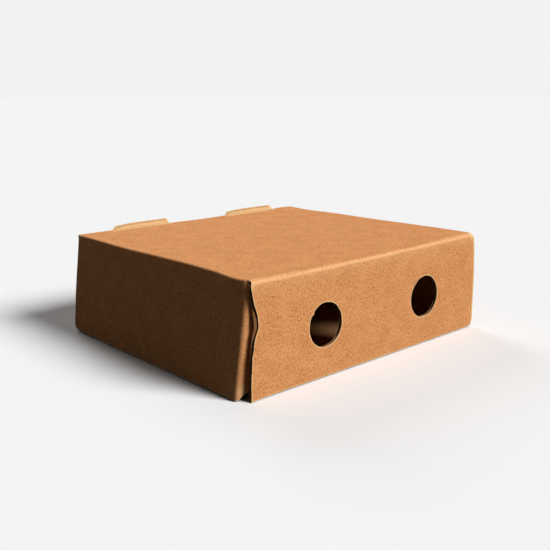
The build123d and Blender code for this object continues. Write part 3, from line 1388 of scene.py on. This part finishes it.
@dataclass
class Tray(FoldedPart):
    """Floor, walls with vents and tabs, and the flaps glued inside the front and back walls."""

    rim_height: float = 48.4
    hinge_height: float = 48.3
    wall_end: float = 74.8
    tabs: tuple[tuple[float, float], ...] = ((-56.1, -19.8), (23.4, 59.7))
    tab_slopes: tuple[float, float] = (2.8, 1.4)
    tab_droop: float = 0.75
    droop_reach: float = 5.5
    tab_corner: float = 0.7
    tab_crush: float = 0.9
    tab_rub: float = 1.1
    tab_cell: float = 0.4
    tab_span: float = 1.5
    # The core is crushed further down than the near liner, which is at share 1.
    tab_core_share: float = 1.5
    tab_fray: float = 0.15
    fray_wave: float = 9.0
    fray_seed: float = 2.0
    front_flap: float = 22.0
    back_flap: float = 40.0
    glue: float = 0.06
    flap_foot: float = 0.6
    corner_rows: int = 7
    widen_from: float = 60.0
    vents: tuple[Vent, ...] = (Vent(-35.1, radius=16.0, patch=19.0, cells=20),
                               Vent(35.1, radius=16.0, patch=19.0, cells=20))
    cell: float = 2.6
    fold_cell: float = 1.0
    floor_cell: float = 4.0
    half_width: float = field(init=False)
    tab_height: float = field(init=False)

    def __post_init__(self) -> None:
        """Takes the walls from the frame. The sheet lies upside down, so its front is the box's back."""
        low, high = (np.array(corner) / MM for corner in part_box("tray"))
        radius = self.board.fold_radius
        inner = self.board.thickness + self.glue + radius
        self.half_width = high[0]
        self.tab_height = high[2]
        self.sheet = FoldedSheet(
            self.board, self.half_width - radius, -high[1] + radius, -low[1] - radius,
            -high[1] + inner, -low[1] - inner)
        self.vent_line = self.sheet.back + self.sheet.run(0.0, self.vent_height)

    def place(self, x: Array, y: Array, depth: Array) -> Array:
        """Puts places of the blank where they lie on the box, the right way up."""
        points = self.sheet.place(x, y, depth) * np.array((1.0, -1.0, -1.0))
        return points + self.warp.shift(points)

    def widen(self, x: Array, y: Array) -> tuple[Array, Array]:
        """Draws the ends of the front and back walls out to the box's sides.

        Args:
            x: Places across the blank.
            y: Places along the blank.

        Returns:
            The moved places.
        """
        past = np.maximum(self.sheet.front - y, y - self.sheet.back)
        out = (self.wall_end - self.sheet.half_width) * ease(0.0, self.sheet.arc(0.0), past)
        return x + np.sign(x) * out * ease(self.widen_from, self.sheet.half_width, np.abs(x)), y

    def up_back(self, height: float) -> float:
        """Returns where a height on the back wall lies along the blank."""
        return self.sheet.front - self.sheet.run(0.0, height)

    def shape_tab(self, share: float, x: Array, y: Array) -> Places:
        """Slopes a tab's left end, rounds its right end and crushes its near liner.

        Args:
            share: 0 for the outer liner, 1 for the inner one, which is the near one.
            x: Places across the blank.
            y: Places along the blank.

        Returns:
            The places inside the tab's outline.
        """
        lefts, rights = zip(*self.tabs)
        left, slope = np.where(x < 0, *lefts), np.where(x < 0, *self.tab_slopes)
        width = rights[0] - lefts[0]
        rise = self.up_back(self.hinge_height) - y
        full = self.tab_height - self.hinge_height
        sloped = slope * np.clip((rise - full + slope) / slope, 0.0, 1.0)
        over = np.clip((rise - full + self.tab_corner) / self.tab_corner, 0.0, 1.0)
        rounded = self.tab_corner * (1.0 - np.sqrt(1.0 - over ** 2))
        uneven = 0.5 + 0.5 * ripple(x, self.fray_wave, self.fray_seed + share)
        droop = self.tab_droop * np.exp(-np.maximum(x - left - slope, 0.0) / self.droop_reach)
        low = (self.tab_crush * share + self.tab_fray * uneven + droop) * ease(0.0, full, rise)
        return left + sloped + (x - left) * (width - sloped - rounded) / width, y + low

    def lines(self) -> tuple[Array, list[Array], Array]:
        """Rules the floor.

        Returns:
            The lines across it, those of the vents' patches, and the lines along it.
        """
        ends = [end for tab in self.tabs for end in tab]
        across, patches = columns(self.sheet.half_width, self.vents, ends, self.cell)
        along = ruled((self.sheet.front, self.sheet.corner_front, self.fold_cell),
                      (self.sheet.corner_front, self.sheet.corner_back, self.floor_cell),
                      (self.sheet.corner_back, self.sheet.back, self.fold_cell))
        return across, patches, along

    def corner_spans(self) -> tuple[tuple[float, float, float], ...]:
        """Returns the fold line, heading and length of the flaps at the side walls' two ends."""
        sheet = self.sheet
        return (sheet.corner_front, -1.0, self.back_flap), (sheet.corner_back, 1.0, self.front_flap)

    def blank(self, layer: Layer) -> Blank:
        """Cuts one liner of the tray.

        Args:
            layer: Which liner.

        Returns:
            The flat outline.
        """
        sheet = self.sheet
        cut = Blank()
        across, patches, along = self.lines()
        cut.grid(across, along)
        arc, length = sheet.arc(0.0), sheet.run(0.0, self.rim_height)
        fold = arc / self.fold_rows
        rim = sheet.back + length
        patch = self.vents[0].lines(self.vent_line)
        rows = np.concatenate((ruled((sheet.back, sheet.back + arc, fold),
                                     (sheet.back + arc, patch[0], self.cell))[:-1], patch,
                               ruled((patch[-1], rim - self.edge_row, self.cell),
                                     (rim - self.edge_row, rim, self.edge_row))[1:]))
        cut.grid(across, rows, shape=self.widen, skip=self.in_vent)
        for vent, lines in zip(self.vents, patches):
            cut.hole(lines, patch, vent.rim)
        hinge, top = self.up_back(self.hinge_height), self.up_back(self.tab_height)
        bent = sheet.front - arc
        cut.grid(across, ruled((hinge, bent, self.cell), (bent, sheet.front, fold)), shape=self.widen)
        for start, stop in self.tabs:
            cut.grid(between(across, start, stop), ruled((top, hinge, self.tab_cell)),
                     shape=partial(self.shape_tab, layer.value), rub=self.tab_rub)
        foot, hem = arc + self.flap_foot, length - self.edge_row
        out = ruled((0.0, arc, fold), (arc, foot, self.flap_foot), (foot, hem, self.cell),
                    (hem, length, self.edge_row))
        sides = between(along, sheet.corner_front, sheet.corner_back)
        for side in Side:
            cut.grid(self.beside(side, out), sides)
            for line, heading, reach in self.corner_spans():
                past = ruled((0.0, arc, arc / self.corner_rows), (arc, reach, self.cell))
                cut.grid(self.beside(side, between(out, foot, length)), np.sort(line + heading * past))
        return cut

    def strips(self) -> Blank:
        """Cuts the strips of fluted paper along the tray's edges.

        Returns:
            The flat strips, a little short of the liners' edges.
        """
        sheet, fine, span, deep, back = (
            self.sheet, self.flute_cell, self.flute_span, self.flute_depth, self.flute_back)
        strips = Blank()
        edge = sheet.half_width
        arc, length = sheet.arc(0.0), sheet.run(0.0, self.rim_height)
        rim = sheet.back + length - back
        strips.grid(ruled((-edge + deep, edge - deep, span)), ruled((rim - deep, rim, fine)))
        hinge, top = self.up_back(self.hinge_height), self.up_back(self.tab_height) + back
        for start, stop in self.tabs:
            strips.grid(ruled((start + back, stop - back, self.tab_span)), ruled((top, hinge + deep, fine)),
                        shape=partial(self.shape_tab, self.tab_core_share))
        for side in Side:
            end = np.sort(side.value * np.linspace(edge - deep, self.wall_end - back, self.hem_rows + 1))
            strips.grid(end, ruled((sheet.back + arc, rim, fine)))
            strips.grid(end, ruled((hinge, sheet.front - arc, fine)))
            hem = self.beside(side, self.hem(length))
            strips.grid(hem, ruled((sheet.corner_front, sheet.corner_back, fine)))
            post = self.beside(side, ruled((arc + self.flap_foot, length - deep, span)))
            for line, heading, reach in self.corner_spans():
                strips.grid(hem, np.sort(line + heading * ruled((0.0, reach - back, fine))))
                strips.grid(post, np.sort(line + heading * ruled((reach - deep, reach - back, fine))))
        for vent in self.vents:
            vent.flutes(strips, self.vent_line)
        return strips

    def build(self) -> list[bpy.types.Object]:
        """Makes the tray's liners and flutes.

        Returns:
            The pieces, riding on the tray and dressed.
        """
        liners = liner_piece("tray_liners", [
            self.blank(layer).shell(self.sheet, self.place, layer) for layer in Layer], self.stock)
        flutes = self.core.piece("tray_flutes", self.strips(), self.sheet, self.place)
        for piece in (liners, flutes):
            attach(piece, "tray")
        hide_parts("tray")
        return [liners, flutes]


@dataclass
class HingeFold:
    """The fold between back wall and lid, in three stretches beside the tabs."""

    lid: Lid
    cell: float = 3.0
    rows: int = 10

    def build(self) -> bpy.types.Object:
        """Makes the fold.

        Returns:
            The piece, in the shape it has with the lid closed.
        """
        lid, sheet = self.lid, self.lid.sheet
        ends = [end for notch in lid.notches for end in notch]
        marks = [-sheet.half_width, *ends, sheet.half_width]
        arc = sheet.arc(sheet.back_lean)
        cut = Blank()
        for start, stop in zip(marks[::2], marks[1::2]):
            cut.grid(ruled((start, stop, self.cell)),
                     np.linspace(sheet.back, sheet.back + arc, self.rows + 1))
        fold = liner_piece("hinge_fold", [
            cut.shell(sheet, lid.place, layer) for layer in Layer], lid.stock)
        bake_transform(fold)
        return fold


@dataclass(frozen=True)
class Lamp:
    """A broad soft lamp, far enough off to light evenly.

    Azimuth 0 is in front of the box and 90 to its right.
    """

    name: str
    strength: float
    spread: float
    azimuth: float
    elevation: float

    def build(self) -> None:
        """Hangs the lamp."""
        lamp = bpy.data.lights.new(self.name, "SUN")
        lamp.energy = self.strength
        lamp.angle = math.radians(self.spread)
        around, above = math.radians(self.azimuth), math.radians(self.elevation)
        towards = Vector((math.sin(around) * math.cos(above), -math.cos(around) * math.cos(above),
                          math.sin(above)))
        holder = bpy.data.objects.new(self.name, lamp)
        holder.location = towards
        holder.rotation_euler = towards.to_track_quat("Z", "Y").to_euler()
        bpy.context.collection.objects.link(holder)


@dataclass
class Studio:
    """Pale floor, soft lamps and the camera."""

    floor_colour: str = "#F4F4F4"
    floor_bounce: str = "#4C4C4B"
    floor_size: float = 60.0
    floor_drop: float = 0.0002
    world_colour: str = "#F2F2F2"
    world_strength: float = 0.04
    lamps: tuple[Lamp, ...] = (
        Lamp("key", strength=4.09, spread=25.0, azimuth=23.0, elevation=38.5),
        Lamp("back", strength=0.8, spread=28.0, azimuth=165.0, elevation=35.0),
        Lamp("fill", strength=0.06, spread=60.0, azimuth=-90.0, elevation=15.0))
    camera_place: tuple[float, float, float] = (-0.2660, -0.2893, 0.1215)
    camera_aim: tuple[float, float, float] = (0.65778, 0.71706, -0.23053)
    lens: float = 49.70
    sensor: float = 36.0
    clip_start: float = 0.01

    def seen(self, tree: Tree) -> Socket:
        """Tells what the camera sees, also in gloss or through glass, from what only lights the box.

        Args:
            tree: The tree that gets the nodes.

        Returns:
            A socket that is 1 for what is seen and 0 for the rest.
        """
        path = add_node(tree, "ShaderNodeLightPath").outputs
        seen = add_node(tree, "ShaderNodeMath", {
            0: path["Is Camera Ray"], 1: path["Is Glossy Ray"]}, operation="MAXIMUM").outputs[0]
        return add_node(tree, "ShaderNodeMath", {
            0: seen, 1: path["Is Transmission Ray"]}, operation="MAXIMUM").outputs[0]

    def floor(self) -> bpy.types.Object:
        """Makes the floor.

        Returns:
            The floor.
        """
        half = self.floor_size / 2
        mesh = bpy.data.meshes.new("studio_floor")
        corners = [(-half, -half), (half, -half), (half, half), (-half, half)]
        mesh.from_pydata([(x, y, -self.floor_drop) for x, y in corners], [], [(0, 1, 2, 3)])
        # Matt painted floor: white to the eye, and a light grey in the light that it throws back.
        made = bpy.data.materials.new("painted_studio_floor")
        made.use_nodes = True
        tree = made.node_tree
        colour = add_node(tree, "ShaderNodeMix", {
            0: self.seen(tree), 6: linear(self.floor_bounce), 7: linear(self.floor_colour)},
            data_type="RGBA")
        shader = tree.nodes["Principled BSDF"]
        shader.inputs["Roughness"].default_value = 1.0
        shader.inputs["Specular IOR Level"].default_value = 0.0
        tree.links.new(colour.outputs[2], shader.inputs["Base Color"])
        mesh.materials.append(made)
        floor = bpy.data.objects.new("studio_floor", mesh)
        bpy.context.collection.objects.link(floor)
        return floor

    def world(self) -> None:
        """Lights the room softly and shows a pale backdrop to the camera."""
        world = bpy.data.worlds.new("studio")
        bpy.context.scene.world = world
        world.use_nodes = True
        tree = world.node_tree
        tree.nodes.clear()
        strength = add_node(tree, "ShaderNodeMapRange", {
            "Value": self.seen(tree), "To Min": self.world_strength, "To Max": 1.0}).outputs[0]
        sky = add_node(tree, "ShaderNodeBackground", {
            "Color": linear(self.world_colour), "Strength": strength})
        add_node(tree, "ShaderNodeOutputWorld", {"Surface": sky.outputs[0]})

    def camera(self) -> None:
        """Stands the camera where it looks along the photograph's line."""
        lens = bpy.data.cameras.new("camera")
        lens.lens = self.lens
        lens.sensor_width = self.sensor
        lens.clip_start = self.clip_start
        camera = bpy.data.objects.new("camera", lens)
        camera.location = self.camera_place
        camera.rotation_euler = Vector(self.camera_aim).to_track_quat("-Z", "Y").to_euler()
        bpy.context.collection.objects.link(camera)
        bpy.context.scene.camera = camera

    def build(self) -> None:
        """Sets up the whole studio."""
        self.floor()
        self.world()
        for lamp in self.lamps:
            lamp.build()
        self.camera()
        bpy.context.scene.view_settings.view_transform = "Standard"


def main() -> None:
    """Builds the box and its studio, and reports each piece."""
    logging.basicConfig(level=logging.INFO, format="%(name)s: %(message)s")
    board = Board()
    stock = Stock(
        outside=KraftLiner("kraft_linerboard", light="#E9A46B", dark="#BB7945").material(),
        inside=KraftLiner("kraft_inner_liner", light="#E3AE7C", dark="#BB8656").material(),
        # The liners' back faces, towards the flutes, are a darker kraft: partly their own tone, partly
        # painted shade for where they show in the torn end.
        back=KraftLiner("kraft_liner_back_with_painted_shade", light="#86592F", dark="#5C3A1E").material(),
        flute=RawPaper("fluted_kraft", light="#9A683D", dark="#6E4526",
                       grain_mm=0.8, bump_mm=0.05).material(),
        cut=RawPaper("cut_kraft_edge", light="#FAE0B6", dark="#DBAC76",
                     grain_mm=0.9, bump_mm=0.08).material())
    core = FluteCore(board, stock.flute)
    lid = Lid(board, stock, core)
    tray = Tray(board, stock, core)
    pieces = [*tray.build(), *lid.build(), HingeFold(lid).build()]
    for piece in pieces:
        LOG.info("%s: %d faces", piece.name, len(piece.data.polygons))
    Studio().build()


if __name__ == "__main__":
    main()
